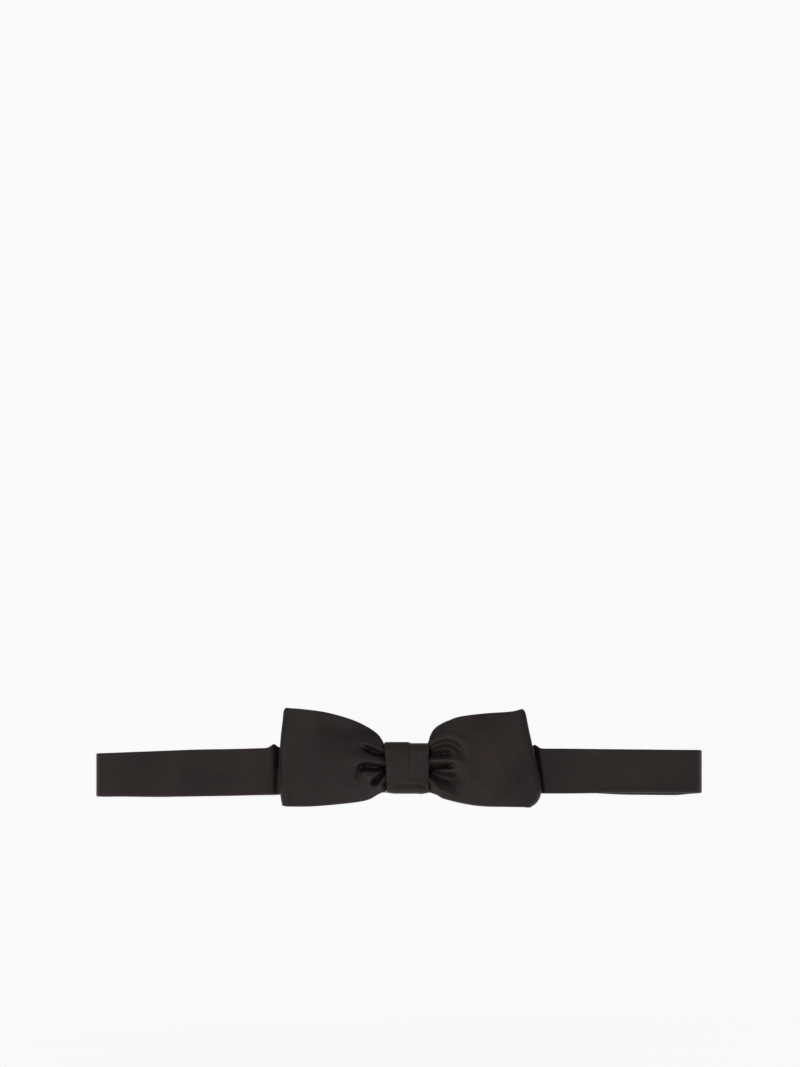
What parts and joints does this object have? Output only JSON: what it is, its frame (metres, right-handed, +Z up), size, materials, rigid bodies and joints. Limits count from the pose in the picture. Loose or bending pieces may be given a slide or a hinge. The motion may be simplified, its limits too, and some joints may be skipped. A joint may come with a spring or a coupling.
{
  "type": "bow tie",
  "caption": "Pre-tied satin bow tie: a folded bow over a flat rear bow, bound by a wrapped knot, on an adjustable neckband closed by a hook and eye.",
  "frame": {"origin": "middle of the knot's back, where it lies on the collar", "axes": "+Z up as worn, -Y out of the front of the bow, +X along the neckband to the viewer's right as the bow is faced"},
  "size_m": [0.2502, 0.0236, 0.0411],
  "materials": {
    "black_silk": "black silk satin with a soft sheen",
    "interlining": "unbleached canvas interlining, inside the silk",
    "black_thread": "black sewing thread",
    "nickel": "bright nickel plate",
    "label_satin": "plain blank satin label"
  },
  "bodies": {
    "bow": {"front_bow_silk": "black_silk", "front_bow_interlining": "interlining", "rear_bow_silk": "black_silk", "rear_bow_interlining": "interlining", "binding_thread": "black_thread", "knot_wrap": "black_silk", "knot_interlining": "interlining", "knot_back_stitches": "black_thread", "neckband_front_silk": "black_silk", "neckband_front_interlining": "interlining", "left_wing_tack": "black_thread", "right_wing_tack": "black_thread"},
    "left_strap": {"neckband_left_silk": "black_silk", "neckband_left_interlining": "interlining", "adjuster_tail": "black_silk", "label": "label_satin", "label_stitches_left": "black_thread", "label_stitches_right": "black_thread"},
    "right_strap": {"neckband_right_silk": "black_silk", "neckband_right_interlining": "interlining", "eye_bartack": "black_thread"},
    "adjuster": {"slider": "nickel", "slider_end_loop": "black_silk", "slider_bartack": "black_thread"},
    "hook": {"hook": "nickel"},
    "eye": {"eye": "nickel"}
  },
  "joints": [
    {"name": "left_fold", "type": "hinge", "parent": "bow", "child": "left_strap", "pos_m": [-0.1284, 0.0025, 0], "axis": [0, 0, 1], "range_deg": [0, 170]},
    {"name": "right_fold", "type": "hinge", "parent": "bow", "child": "right_strap", "pos_m": [0.1218, 0.0025, 0], "axis": [0, 0, 1], "range_deg": [-170, 0]},
    {"name": "adjuster_slide", "type": "slide", "parent": "left_strap", "child": "adjuster", "axis": [-1, 0, 0], "range_m": [-0.018, 0.044], "deforming": ["adjuster_tail"]},
    {"name": "hook_tilt", "type": "hinge", "parent": "left_strap", "child": "hook", "pos_m": [0.018, 0.0054, 0], "axis": [0, 0, 1], "range_deg": [0, 60]},
    {"name": "eye_tilt", "type": "hinge", "parent": "right_strap", "child": "eye", "pos_m": [0.0351, 0.0037, 0], "axis": [0, 0, 1], "range_deg": [0, 20]}
  ],
  "couplings": [
    {"joint": "right_fold", "follows": "left_fold", "ratio": -1}
  ]
}
